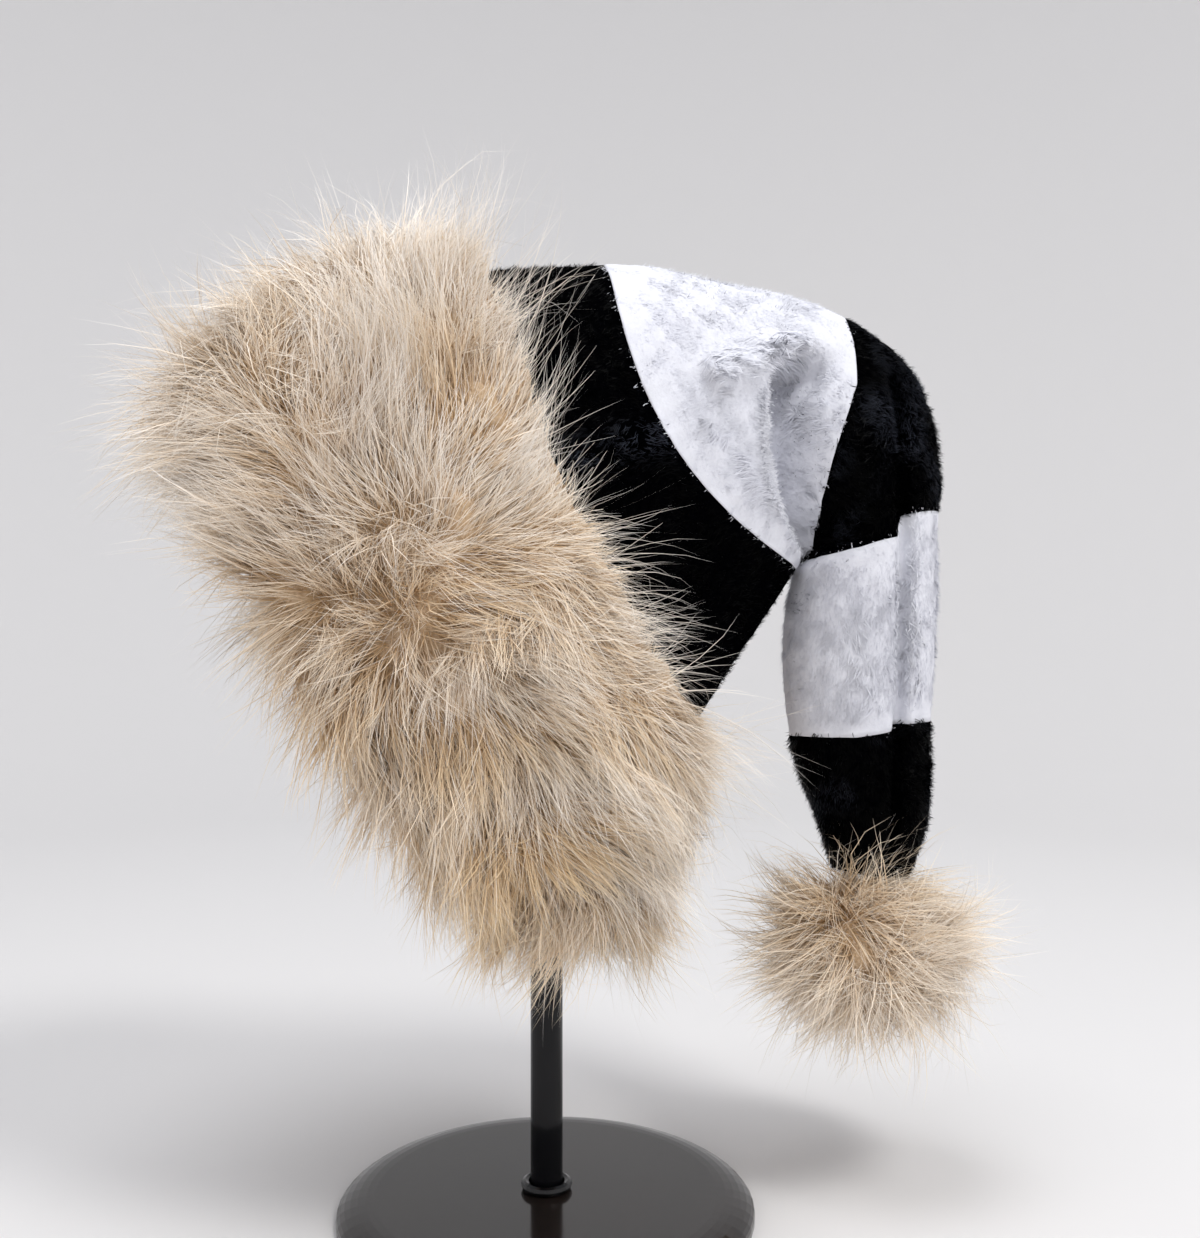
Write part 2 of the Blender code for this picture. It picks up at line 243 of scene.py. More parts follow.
# A mesh at the origin from points of the hat's plane, with its faces' first loops and corners
def addMesh(name, points, starts, corners, strand=None, normals=None):
    mesh = bpy.data.meshes.new(name)
    mesh.vertices.add(len(points))
    mesh.vertices.foreach_set("co", toWorld(points).astype(np.float32).ravel())
    mesh.loops.add(len(corners))
    mesh.loops.foreach_set("vertex_index", corners.astype(np.int32))
    mesh.polygons.add(len(starts))
    mesh.polygons.foreach_set("loop_start", starts.astype(np.int32))
    mesh.update(calc_edges=True)
    mesh.validate()
    if strand is not None:
        data = mesh.attributes.new("strand", "FLOAT_VECTOR", "POINT").data
        data.foreach_set("vector", strand.astype(np.float32).ravel())
    mesh.shade_smooth()
    if normals is not None:
        mesh.normals_split_custom_set_from_vertices(toWorld(normals) - toWorld(normals * 0))
    piece = bpy.data.objects.new(name, mesh)
    bpy.context.scene.collection.objects.link(piece)
    return piece


# Faces of a tube: each ring is joined to the next, and where asked the last to the first
def ringFaces(rows, around, closed=False):
    row = np.arange(rows - (not closed))[:, None] * around
    above = (row + around) % (rows * around)
    here = np.arange(around)
    after = (here + 1) % around
    return np.stack([row + here, row + after, above + after, above + here], -1).reshape(-1, 4)


# A tube of rings of points, with a fan to the middle of each end ring where asked
def addRings(name, rings, closed=False, ends=False, flip=False):
    rows, around = rings.shape[:2]
    points = rings.reshape(-1, 3)
    quads = ringFaces(rows, around, closed)
    corners = [quads[:, ::-1].ravel() if flip else quads.ravel()]
    starts = np.arange(len(quads)) * 4
    if ends:
        here = np.arange(around)
        after = (here + 1) % around
        low = np.stack([after, here, np.full(around, len(points))], -1)
        last = (rows - 1) * around
        high = np.stack([last + here, last + after, np.full(around, len(points) + 1)], -1)
        points = np.concatenate([points, rings[0].mean(0)[None], rings[-1].mean(0)[None]])
        fans = np.concatenate([low, high])
        corners.append(fans[:, ::-1].ravel() if flip else fans.ravel())
        starts = np.concatenate([starts, starts[-1] + 4 + np.arange(len(fans)) * 3])
    return addMesh(name, points, starts, np.concatenate(corners))


# What every ribbon of hair shares
strandShape = {
    "fineLock": (0.4, 0.45),  # size and strength of the lesser locks against the main ones
    "lockStart": 0.5,  # a lock's turn at the root, growing by 1 to the tip
    "strayStart": 0.4,  # the same for a single hair's stray
    "gatherPower": 1.2,
    "guardGather": 0.3,
    "curlTurns": (2.5, 6.0),  # radians of its wave along a hair
    "curlStray": 0.3,  # how far a hair's curl differs from its wisp's
    "lockShare": (0.5, 1.0),  # least and most of the way to its lock's middle
    "thickSpread": (0.6, 1.25),
    "lateTaper": 0.85,  # share of the width that falls off near the tip
    "guardPlace": 0.6,  # guard hairs are coloured as from this place on
}


# Faces of flat ribbons of so many steps, ending in a triangle: first loops and corners
def ribbonFaces(count, steps):
    block = []
    for k in range(steps - 1):
        block += [2 * k, 2 * k + 1, 2 * k + 3, 2 * k + 2]
    block += [2 * steps - 2, 2 * steps - 1, 2 * steps]
    ribbon = np.arange(count)[:, None]
    starts = (ribbon * len(block) + 4 * np.arange(steps)).ravel()
    return starts, (ribbon * (2 * steps + 1) + np.array(block)).ravel()


# Hair over a surface, as flat tapering ribbons in wisps. Each wisp leaves its root between the
# surface's normal and the way it is combed, leans over as it runs out, and droops; the hairs of a
# wisp share its course, and draw together towards its tip, as wisps do towards their lock's middle
def growHair(name, roots, outward, combed, reach, tone, look, seed, rough=1.0, longReach=None,
             lockGather=0.0):
    rng = np.random.default_rng(seed)
    wisps, each, steps = len(roots), look["each"], look["steps"]
    count = wisps * each
    wisp = np.repeat(np.arange(wisps), each)
    t = (np.arange(steps) + 0.5) / steps
    lean = look["leanRoot"] + (look["leanTip"] - look["leanRoot"]) * t
    rough = np.broadcast_to(rough, wisps)
    longReach = reach if longReach is None else longReach
    fineSize, fineStray = strandShape["fineLock"]
    locks = drift(roots, look["lockSize"], seed + 1) * look["lockStray"]
    locks += drift(roots, look["lockSize"] * fineSize, seed + 2) * look["lockStray"] * fineStray
    locks += rng.normal(size=(wisps, 3)) * look["wispStray"]
    locks *= rough[:, None]
    if look["level"]:
        locks -= (locks * outward).sum(-1, keepdims=True) * outward
    jitter = rng.normal(size=(count, 3)) * look["hairStray"]
    fan = rng.random(wisps) < look["fans"]
    guard = (rng.random(count) < look["guardShare"]) | fan[wisp]
    jitter[guard] *= look["guardStray"]
    course = outward[:, None] * (1 - lean)[:, None] + combed[:, None] * lean[:, None]
    course = course + locks[:, None] * (strandShape["lockStart"] + t)[:, None]
    course = course[wisp] + jitter[:, None] * (strandShape["strayStart"] + t)[:, None]
    course[..., 2] -= look["droop"] * t
    course = unit(course)
    length = np.where(guard, longReach[wisp] * look["guardReach"], reach[wisp])
    length = length * rng.uniform(look["shortest"], 1.0, count)
    length = length * rng.uniform(1 - look["wispUneven"], 1 + look["wispUneven"], wisps)[wisp]
    sideways = rng.normal(size=(count, 3)) * look["wispWidth"]
    sideways -= (sideways * outward[wisp]).sum(-1, keepdims=True) * outward[wisp]
    steps01 = np.arange(steps + 1) / steps
    gathering = steps01 ** strandShape["gatherPower"]
    gather = 1 - look["gather"] * rough[wisp][:, None] * gathering
    gather = np.where(guard[:, None], 1 - strandShape["guardGather"] * steps01, gather)
    path = np.concatenate([np.zeros((count, 1, 3)), np.cumsum(course, 1)], 1)
    path *= (length / steps)[:, None, None]
    path += roots[wisp][:, None] + sideways[:, None] * gather[..., None]
    curlStray = strandShape["curlStray"]
    wave = unit(rng.normal(size=(wisps, 3)))[wisp] + curlStray * rng.normal(size=(count, 3))
    phase = rng.uniform(0, 6, (wisps, 1))[wisp] + curlStray * rng.normal(size=(count, 1))
    turns = rng.uniform(*strandShape["curlTurns"], (wisps, 1))[wisp]
    swing = np.sin(steps01 * turns + phase) - np.sin(phase)
    path += wave[:, None] * (swing * steps01)[..., None] * look["curl"]
    if look["locks"]:
        middles = roots[rng.choice(wisps, look["locks"], replace=False)]
        nearest = np.linalg.norm(roots[:, None] - middles[None], axis=-1).argmin(1)
        share = lockGather * rng.uniform(*strandShape["lockShare"], wisps)
        inward = (middles[nearest] - roots) * share[:, None]
        path += inward[wisp][:, None] * gathering[:, None]
    path = keepInside(path)
    middle = course[:, steps // 2]
    face = outward[wisp] - (outward[wisp] * middle).sum(-1, keepdims=True) * middle
    face = unit(face + rng.normal(size=(count, 3)) * look["twist"])
    side = unit(np.cross(course, face[:, None]))
    side = np.concatenate([side, side[:, -1:]], 1)
    thick = look["thick"] * rng.uniform(*strandShape["thickSpread"], count)
    thick = thick * np.where(guard, look["guardThick"], 1)
    hairTone = np.where(guard, 0, tone[wisp])
    late = strandShape["lateTaper"]
    taper = (1 - steps01 ** 2) * late + (1 - late) * (1 - steps01)
    half = side * (thick[:, None] * taper / 2)[..., None]
    left, right = path[:, :-1] - half[:, :-1], path[:, :-1] + half[:, :-1]
    points = np.concatenate([np.stack([left, right], 2).reshape(count, -1, 3), path[:, -1:]], 1)
    starts, corners = ribbonFaces(count, steps)
    along = np.append(np.repeat(steps01[:-1], 2), 1.0)
    strand = np.stack(np.broadcast_arrays(
        np.maximum(along[None], strandShape["guardPlace"] * guard[:, None]),
        rng.random(count)[:, None], hairTone[:, None]), -1)
    normals = None
    if look["softNormals"]:
        normals = outward[wisp] + look["tuftNormals"] * locks[wisp]
        normals = unit(normals + look["softNormals"] * rng.normal(size=(count, 3)))
        normals = np.repeat(normals, 2 * steps + 1, 0)
    return addMesh(name, points.reshape(-1, 3), starts, corners, strand.reshape(-1, 3), normals)


room = {"share": 0.03, "past": 0.009, "least": 0.2}  # room for hair round the solids' box
roomPast = (cadHigh - cadLow) * room["share"] + room["past"]
roomLow, roomHigh = cadLow - roomPast, cadHigh + roomPast


# Hairs that would leave that room are drawn in towards their roots, by the share that fits
def keepInside(path):
    placed = toWorld(path)
    root = placed[:, :1]
    out = placed - root
    with np.errstate(divide="ignore", invalid="ignore"):
        fits = np.where(out > 0, (roomHigh - root) / out, (roomLow - root) / out)
    fits = np.where(np.abs(out) < 1e-9, 1, fits)
    keep = np.clip(np.nanmin(fits, axis=(1, 2)), room["least"], 1)
    return path[:, :1] + (path - path[:, :1]) * keep[:, None, None]


# Places over a surface of two parameters, as many per area everywhere, by the size of its cells,
# or by that times a weight
def scatter(shape, first, second, count, rng, weight=None, cells=(90, 60)):
    a = np.linspace(*first, cells[0])
    b = np.linspace(*second, cells[1])
    grid = shape(a[:, None], b[None])
    du = grid[1:, :-1] - grid[:-1, :-1]
    dv = grid[:-1, 1:] - grid[:-1, :-1]
    area = np.linalg.norm(np.cross(du, dv), axis=-1)
    if weight is not None:
        area = area * weight((a[:-1, None] + a[1:, None]) / 2, (b[None, :-1] + b[None, 1:]) / 2)
    cell = rng.choice(area.size, count, p=(area / area.sum()).ravel())
    i, j = np.unravel_index(cell, area.shape)
    i = i + rng.random(count)
    j = j + rng.random(count)
    return np.interp(i, np.arange(cells[0]), a), np.interp(j, np.arange(cells[1]), b)


# Direction straight out of such a surface: square to small steps along both parameters
def outOf(shape, a, b, step=0.004):
    du = shape(a + step, b) - shape(a - step, b)
    dv = shape(a, b + step) - shape(a, b - step)
    return unit(np.cross(dv, du))


# An empty group of nodes with named inputs and outputs
def newGroup(name, inputs, outputs):
    group = bpy.data.node_groups.new(name, "ShaderNodeTree")
    for label, kind, value in inputs:
        socket = group.interface.new_socket(label, in_out="INPUT", socket_type=kind)
        if value is not None:
            socket.default_value = value
    for label, kind in outputs:
        group.interface.new_socket(label, in_out="OUTPUT", socket_type=kind)
    return group, group.nodes.new("NodeGroupInput"), group.nodes.new("NodeGroupOutput")


# A shader node, its inputs given by name, or by number as i0, i1, as values or links
def node(tree, kind, settings=None, **inputs):
    made = tree.nodes.new("ShaderNode" + kind)
    for key, value in (settings or {}).items():
        setattr(made, key, value)
    for key, value in inputs.items():
        socket = made.inputs[int(key[1:])] if key[0] == "i" and key[1:].isdigit() \
            else made.inputs[key]
        if isinstance(value, bpy.types.NodeSocket):
            tree.links.new(value, socket)
        else:
            socket.default_value = value
    return made


colourKind, valueKind, vectorKind = "NodeSocketColor", "NodeSocketFloat", "NodeSocketVector"


# Hair colour: root to body to tip along each hair, lighter or darker by hair and by lock
# The Warmth colour, by the strand's tone, also darkens the black pile away from its painted glints
def makeHairTint():
    group, given, out = newGroup("hairTint", [
        ("Strand", vectorKind, None), ("Root", colourKind, None), ("Body", colourKind, None),
        ("Tip", colourKind, None), ("Variation", valueKind, 0.3), ("Warmth", colourKind, None),
    ], [("Color", colourKind)])
    parts = node(group, "SeparateXYZ", i0=given.outputs["Strand"])
    rootMix = node(group, "MapRange", i0=parts.outputs["X"], i1=0.08, i2=0.5)
    tipMix = node(group, "MapRange", i0=parts.outputs["X"], i1=0.5, i2=1.0)
    body = node(group, "Mix", {"data_type": "RGBA"}, i0=rootMix.outputs[0],
                i6=given.outputs["Root"], i7=given.outputs["Body"])
    tip = node(group, "Mix", {"data_type": "RGBA"}, i0=tipMix.outputs[0],
               i6=body.outputs[2], i7=given.outputs["Tip"])
    warm = node(group, "Mix", {"data_type": "RGBA", "blend_type": "MULTIPLY"},
                i0=parts.outputs["Z"], i6=tip.outputs[2], i7=given.outputs["Warmth"])
    swing = node(group, "MapRange", i0=parts.outputs["Y"], i3=-1.0, i4=1.0)
    swing = node(group, "Math", {"operation": "MULTIPLY_ADD"}, i0=swing.outputs[0],
                 i1=given.outputs["Variation"], i2=1.0)
    shade = node(group, "HueSaturation", Value=swing.outputs[0], Color=warm.outputs[2])
    group.links.new(shade.outputs[0], out.inputs["Color"])
    return group


# Pile: fine noise along the surface for colour and height
def makePileGrain():
    group, given, out = newGroup("pileGrain", [
        ("Size", valueKind, 400.0), ("Dark", colourKind, None), ("Light", colourKind, None),
    ], [("Color", colourKind), ("Height", valueKind)])
    place = node(group, "TexCoord")
    fine = node(group, "TexNoise", Vector=place.outputs["Object"], Scale=given.outputs["Size"],
                Detail=3.0)
    wide = node(group, "TexNoise", Vector=place.outputs["Object"], Scale=60.0, Detail=2.0)
    both = node(group, "Math", {"operation": "MULTIPLY_ADD"}, i0=wide.outputs[0], i1=0.3,
                i2=fine.outputs[0])
    share = node(group, "MapRange", i0=both.outputs[0], i1=0.45, i2=0.85)
    colour = node(group, "Mix", {"data_type": "RGBA"}, i0=share.outputs[0],
                  i6=given.outputs["Dark"], i7=given.outputs["Light"])
    group.links.new(colour.outputs[2], out.inputs["Color"])
    group.links.new(both.outputs[0], out.inputs["Height"])
    return group


hairTint = makeHairTint()
pileGrain = makePileGrain()


# A Principled material, its sockets' names written with _ for a space
def newMaterial(name, **values):
    material = bpy.data.materials.new(name)
    material.use_nodes = True
    shader = material.node_tree.nodes["Principled BSDF"]
    for key, value in values.items():
        shader.inputs[key.replace("_", " ")].default_value = value
    return material, material.node_tree, shader


# A group placed in a material, with its own values or links
def useGroup(tree, group, **values):
    made = tree.nodes.new("ShaderNodeGroup")
    made.node_tree = group
    for key, value in values.items():
        if isinstance(value, bpy.types.NodeSocket):
            tree.links.new(value, made.inputs[key])
        else:
            made.inputs[key].default_value = value
    return made


# Hair and pile: coloured by the strand attribute
def hairMaterial(name, root, body, tip, warmth, variation, **values):
    material, tree, shader = newMaterial(name, **values)
    strand = node(tree, "Attribute", {"attribute_name": "strand"})
    tint = useGroup(tree, hairTint, Strand=strand.outputs["Vector"], Root=(*root, 1),
                    Body=(*body, 1), Tip=(*tip, 1), Warmth=(*warmth, 1), Variation=variation)
    tree.links.new(tint.outputs["Color"], shader.inputs["Base Color"])
    return material


# Backing cloth and underfur: coloured and raised by the pile's grain
def clothMaterial(name, dark, light, size, bump, **values):
    material, tree, shader = newMaterial(name, **values)
    grain = useGroup(tree, pileGrain, Size=size, Dark=(*dark, 1), Light=(*light, 1))
    relief = node(tree, "Bump", Height=grain.outputs["Height"], Strength=bump, Distance=0.0012)
    tree.links.new(grain.outputs["Color"], shader.inputs["Base Color"])
    tree.links.new(relief.outputs["Normal"], shader.inputs["Normal"])
    return material


furHair = hairMaterial("furHair", (0.62, 0.44, 0.25), (0.92, 0.815, 0.69), (0.985, 0.96, 0.93),
                       (0.88, 0.735, 0.52), 0.13, Roughness=0.38, Specular_IOR_Level=0.5)
furBed = clothMaterial("furBed", (0.48, 0.33, 0.20), (0.70, 0.53, 0.36), 700.0, 0.6,
                       Roughness=0.9, Specular_IOR_Level=0.0)
whitePile = hairMaterial("whitePile", (0.78, 0.79, 0.85), (0.79, 0.80, 0.86),
                         (0.82, 0.83, 0.88), (0.97, 0.97, 0.99), 0.02, Roughness=0.7,
                         Specular_IOR_Level=0.0)
whiteCloth = clothMaterial("whiteCloth", (0.76, 0.77, 0.83), (0.80, 0.81, 0.87), 650.0, 0.15,
                           Roughness=0.85, Specular_IOR_Level=0.0)
# Black pile: its body and tip colours are painted highlight, darkened by the last colour off the
# glints
blackPile = hairMaterial("blackPile", (0.002, 0.002, 0.003), (0.024, 0.027, 0.037),
                         (0.062, 0.070, 0.094), (0.014, 0.014, 0.014), 0.3, Roughness=0.40,
                         Specular_IOR_Level=0.035)
blackCloth = clothMaterial("blackCloth", (0.0003, 0.0003, 0.0005), (0.0010, 0.0010, 0.0014),
                           500.0, 0.7, Roughness=0.9, Specular_IOR_Level=0.0)

bands = {  # name: node, first and last section, dark or light, points round it and rows along it
    "crownBlackCloth": ("crown_black", 0, 3, "black", 160, 34),
    "crownWhiteCloth": ("crown_white", 3, 5, "white", 340, 100),
    "tailBlackCloth": ("tail_black", 5, 8, "black", 160, 40),
    "tailWhiteCloth": ("tail_white", 8, 10, "white", 120, 30),
    "tailTipCloth": ("tail_tip", 10, 13, "black", 110, 30),
}
clothLook = {"liningRows": 5, "tipEnd": 13, "rippleSize": 0.0030,
             "ripple": {"black": 0.0003, "white": 0.0003}}


# A band of cloth: outer and inner rings of the hat's surface between two sections, the outer one
# rippled by a fine drift as its pile is
def makeBand(name, cadNode, start, end, colour, around, rows):
    angles = np.linspace(0, 2 * pi, around, endpoint=False)[None]
    share = np.linspace(0, 1, rows)[:, None]
    places = seamPlace(angles, start) * (1 - share) + seamPlace(angles, end) * share
    outer = cloth(angles, places)
    height = clothLook["ripple"][colour]
    ripple = drift(outer, clothLook["rippleSize"], 5)[..., :1] * height
    outer = outer + (ripple - height * 1.5) * clothOut(angles, places)
    share = np.linspace(0, 1, clothLook["liningRows"] * (end - start))[:, None]
    lining = seamPlace(angles, start) * (1 - share) + seamPlace(angles, end) * share
    inner = cloth(angles, lining, hat["wall"])
    if end < clothLook["tipEnd"]:
        piece = addRings(name, np.concatenate([outer, inner[::-1]]), closed=True)
    else:
        piece = addRings(name, np.concatenate([inner[::-1], outer]), ends=True)
    piece.data.materials.append(blackCloth if colour == "black" else whiteCloth)
    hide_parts(cadNode)
    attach(piece, "root")
    return piece


for name, row in bands.items():
    makeBand(name, *row)
print("cloth made")

flatLook = {"each": 6, "steps": 1, "guardShare": 0.0, "guardStray": 1.0, "guardReach": 1.0,
            "curl": 0.0, "fans": 0.0, "wispUneven": 0.1, "locks": 0, "level": True,
            "guardThick": 1.0}
# Lean from straight out to along the lay, locks and stray, width and spread in metres
pileLook = {
    "black": {**flatLook, "leanRoot": 0.58, "leanTip": 0.58, "lockSize": 0.008,
              "lockStray": 0.40, "wispStray": 0.24, "hairStray": 0.16, "droop": 0.0,
              "shortest": 0.6, "wispWidth": 0.0014, "gather": 0.75, "twist": 0.3,
              "thick": 0.0005, "softNormals": 0.2, "tuftNormals": 0.8},
    "white": {**flatLook, "level": False, "leanRoot": 0.60, "leanTip": 0.60,
              "lockSize": 0.008, "lockStray": 0.20, "wispStray": 0.14, "hairStray": 0.16,
              "droop": 0.2, "shortest": 0.6, "wispWidth": 0.0020, "gather": 0.5,
              "twist": 0.15, "thick": 0.00042, "softNormals": 0.10, "tuftNormals": 0.0},
    "tuft": {**flatLook, "level": False, "each": 7, "steps": 2, "leanRoot": 0.56,
             "leanTip": 0.84, "lockSize": 0.006, "lockStray": 0.36, "wispStray": 0.16,
             "hairStray": 0.06, "droop": 0.25, "shortest": 0.8, "wispWidth": 0.0013,
             "gather": 0.90, "curl": 0.0004, "twist": 0.25, "thick": 0.00060,
             "softNormals": 0.15, "tuftNormals": 0.0},
}
pile = {  # name: colour, look, first and last section, wisps, length, roughness of the lay
    "crownBlackPile": ("black", "black", 1.7, 3, 4600, 0.0034, 0.7),
    "crownWhitePile": ("white", "white", 3, 5, 8800, 0.0034, 0.5),
    "tailBlackPile": ("black", "black", 5, 8, 3900, 0.0042, 1.0),
    "tailWhitePile": ("white", "white", 8, 10, 4800, 0.0034, 0.5),
    "tailTipPile": ("black", "black", 10, 13, 2900, 0.0040, 0.9),
    "crownWhiteTufts": ("white", "tuft", 3, 5, 560, 0.0068, 1.0),
    "tailWhiteTufts": ("white", "tuft", 8, 10, 260, 0.0060, 1.0),
}
pileSeam = {
    "margin": 0.05,  # pile stops this far short of the seam that it lies towards
    "fade": 6.0,  # how fast white pile grows to its length away from seams
    "short": 0.4,  # and the least share of its length
}
pileRoot = 0.0008  # how deep in the cloth pile is rooted
layPatch, lengthPatch = (0.6, 0.02), (0.2, 0.012)  # how much patches differ, and their size
# Lines where the white pile stands up in tufts: from and to along and across, width in metres
tuftLines = np.array([
    (3.54, 0.23, 3.90, 0.44, 0.007), (3.90, 0.44, 4.44, 0.50, 0.007),
    (3.38, -0.04, 3.46, -0.31, 0.006), (3.46, -0.31, 3.50, -0.60, 0.005),
    (4.44, 0.34, 4.56, -0.08, 0.008), (4.90, 0.20, 4.82, -0.36, 0.005),
    (4.82, -0.36, 4.95, -0.80, 0.004), (8.56, -0.46, 9.62, -0.13, 0.006),
    (8.40, 0.40, 9.60, 0.50, 0.005),
])


# How much of a tufted line lies at each place of the cloth: a bell across each line in the plane
def tufted(points):
    share = np.zeros(points.shape[:-1])
    plane = points[..., ::2]
    for along0, across0, along1, across1, width in tuftLines:
        start, stop = planePoint(along0, across0), planePoint(along1, across1)
        line = stop - start
        run = np.clip((plane - start) @ line / (line @ line), 0, 1)
        gone = np.linalg.norm(plane - start - run[..., None] * line, axis=-1)
        share = np.maximum(share, np.exp(-(gone / width) ** 2))
    return share


# Painted glints on the black pile: highlights painted into its colour along the ridge and in
# patches
paintedGlints = {
    "patch": 0.009,
    "ridge": ((2.02, 0.15), (3.01, 0.06)),  # along and across of the ridge's two ends
    "ridgeWidth": 0.007,
    "crown": (0.8, 0.6),  # brightness, and how much patches change it
    "tail": (0.10, 0.55),
}


# Painted glints, highlights painted into the black pile's colour, as a tone with 0 the brightest:
# a bell across the crown's ridge on the near side, and patches of a drift on the tail
def blackPaintedGlints(roots, start, seed):
    patches = drift(roots, paintedGlints["patch"], seed + 4)[:, 0]
    if start < 3:
        ridgeStart, ridgeEnd = (planePoint(*end) for end in paintedGlints["ridge"])
        line = ridgeEnd - ridgeStart
        off = (roots[:, ::2] - ridgeStart) @ np.array([-line[1], line[0]]) / np.hypot(*line)
        bell = np.exp(-(off / paintedGlints["ridgeWidth"]) ** 2) * (roots[:, 1] < 0)
        paintedGlint = bell * (paintedGlints["crown"][0] + paintedGlints["crown"][1] * patches)
    else:
        paintedGlint = paintedGlints["tail"][0] + paintedGlints["tail"][1] * patches
    return np.clip(1 - paintedGlint, 0, 1)


# White pile, from clear to a shade cooler on a slow drift
def whiteTone(roots, start, seed):
    return np.clip(0.5 + 0.5 * drift(roots, 0.02, seed + 4)[:, 0], 0, 1)


# Tone of each pile: painted glints on the black pile, a slow random drift on the white
pileTone = {"black": blackPaintedGlints, "white": whiteTone, "tuft": whiteTone}


# Short pile over a band, combed along the hat towards its tip, and tufts along the tufted lines
def makePile(name, colour, look, start, end, wisps, length, lay, seed):
    rng = np.random.default_rng(seed)
    weight = None
    if look == "tuft":
        def weight(a, b):
            return tufted(cloth(a, b)) ** 2 + 0.004
    reached = end - pileSeam["margin"]
    angle, along = scatter(cloth, (0, 2 * pi), (start, reached), wisps, rng, weight)
    share = (along - start) / (end - start)
    along = seamPlace(angle, start) * (1 - share) + seamPlace(angle, end) * share
    roots = cloth(angle, along)
    outward = clothOut(angle, along)
    combed = clothRun(angle, along)
    rough = lay * (1 + layPatch[0] * drift(roots, layPatch[1], seed + 5)[:, 0])
    reach = length * (1 + lengthPatch[0] * drift(roots, lengthPatch[1], seed + 3)[:, 0])
    if colour == "white":
        toSeam = np.minimum(share, 1 - share)
        reach *= np.clip(toSeam * pileSeam["fade"], pileSeam["short"], 1)
    tone = pileTone[look](roots, start, seed)
    piece = growHair(name, roots - pileRoot * outward, outward, combed, reach, tone,
                     pileLook[look], seed, np.clip(rough, 0.1, 1.1))
    piece.data.materials.append(blackPile if colour == "black" else whitePile)
    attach(piece, "root")


for seed, (name, row) in enumerate(pile.items()):
    makePile(name, *row, seed=100 + 10 * seed)
print("pile grown")

cuff = {
    "pile": 0.044,
    "overhang": 0.058,
    "overhangLess": 0.34,  # how much less it hangs over at the top side and the underside
    "partingLess": 0.46,  # and at the parting, over so many radians to each side
    "partingWidth": 0.4,
    "pileLess": 0.18,
    "parting": ((-0.088, -0.135), (-0.046, -0.131)),  # x and z of its ends in the hat's plane
    "bedHeight": 0.50,  # share of the outline's height that the bed of underfur keeps
    "bedPast": 0.90,
    "bedRelief": 0.003,
    "bedGap": 0.0003,  # between the underfur and the cloth
    "reach": 0.040,
    "uneven": 0.15,  # how much patches differ in length
    "rowsLeft": (0.3, 0.2),  # rows without roots at the crown's side and at the opening's
    "partingCalm": 0.008,  # distance over which the combing sets in beside the parting
    "partingLay": 0.7,  # and its least share there
    "swirl": 0.45,  # how far the combing turns aside, in radians
    "lockGather": (0.40, 0.45),  # how far wisps draw together, and how much more low down
    "wander": 0.010,  # how far the parting strays from its straight line
    "rowReach": ((0, 0.26), (1, 0.34), (2, 0.55), (3.2, 0.95), (5, 1.0), (7, 1.25)),
    "topLess": 0.15,  # how much shorter the hair on the top side is, over so many radians
    "topWidth": 0.6,
    "patchSize": 0.024,  # size of the patches that differ in length and lay
    "lobeFrom": -0.11,  # z where the lower lobe starts, and how far down it is whole
    "lobeOver": 0.06,
    "turnRow": 3.2,  # row where the hair on top turns from the crown's side to the opening's
}
cuffHair = {"each": 7, "steps": 4, "leanRoot": 0.44, "leanTip": 0.84, "lockSize": 0.018,
            "lockStray": 0.46, "wispStray": 0.20, "hairStray": 0.065, "guardShare": 0.12,
            "guardStray": 2.0, "guardReach": 1.35, "guardThick": 0.5, "droop": 0.18,
            "shortest": 0.45, "wispWidth": 0.0026, "gather": 0.82, "curl": 0.0026,
            "twist": 0.45, "thick": 0.00046, "fans": 0.05, "wispUneven": 0.36,
            "softNormals": 0.0, "locks": 190, "level": False}
lastRow = len(cuffOutline) - 1


# Outline of the cuff over angle and row: out from the cloth by the pile's height, or past the
# opening's edge by the overhang, both less at the top side, at the underside and at the parting
def cuffForm(angle, row, height=1.0, past=1.0):
    angle, row = np.broadcast_arrays(np.asarray(angle, float), np.asarray(row, float))
    along, beyond, high = np.moveaxis(curveThrough(cuffOutline, row), -1, 0)
    along = np.maximum(along, 0)
    ends = np.cos(angle / 2) ** 6 + np.sin(angle / 2) ** 6
    turn = np.mod(angle, 2 * pi)
    parting = np.exp(-((turn - pi) / cuff["partingWidth"]) ** 2)
    left = 1 - cuff["overhangLess"] * ends - cuff["partingLess"] * parting
    beyond = (cuff["overhang"] * past * np.maximum(beyond, 0) * left)[..., None]
    base = cloth(angle, along) - beyond * clothRun(angle, along * 0)
    rise = cuff["pile"] * high * height * (1 - cuff["pileLess"] * np.cos(angle) ** 2)
    return base + rise[..., None] * clothOut(angle, along)


# Surface of the underfur: the outline at a share of its height
def cuffBed(angle, row):
    return cuffForm(angle, row, cuff["bedHeight"], cuff["bedPast"])


# The underfur as one closed ring: its surface, roughened by a drift, and the cloth's side under it
def makeCuffBed():
    angles = np.linspace(0, 2 * pi, 160, endpoint=False)[None]
    rows = np.linspace(0, lastRow, 50)[:, None]
    form = cuffBed(angles, rows)
    relief = drift(form, 0.006, 21)[..., :1] * cuff["bedRelief"]
    form = form + relief * outOf(cuffBed, angles, rows)
    places = np.linspace(0, 2, 9)[:, None]
    under = cloth(angles, places) + cuff["bedGap"] * clothOut(angles, places)
    piece = addRings("cuffBed", np.concatenate([under, form]), closed=True, flip=True)
    piece.data.materials.append(furBed)
    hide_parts("cuff_fur")
    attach(piece, "root")


makeCuffBed()


# How far down the cuff a place lies: 0 in the upper lobe, 1 in the lower
def lowerLobe(points):
    return np.clip((cuff["lobeFrom"] - points[:, 2]) / cuff["lobeOver"], 0, 1)


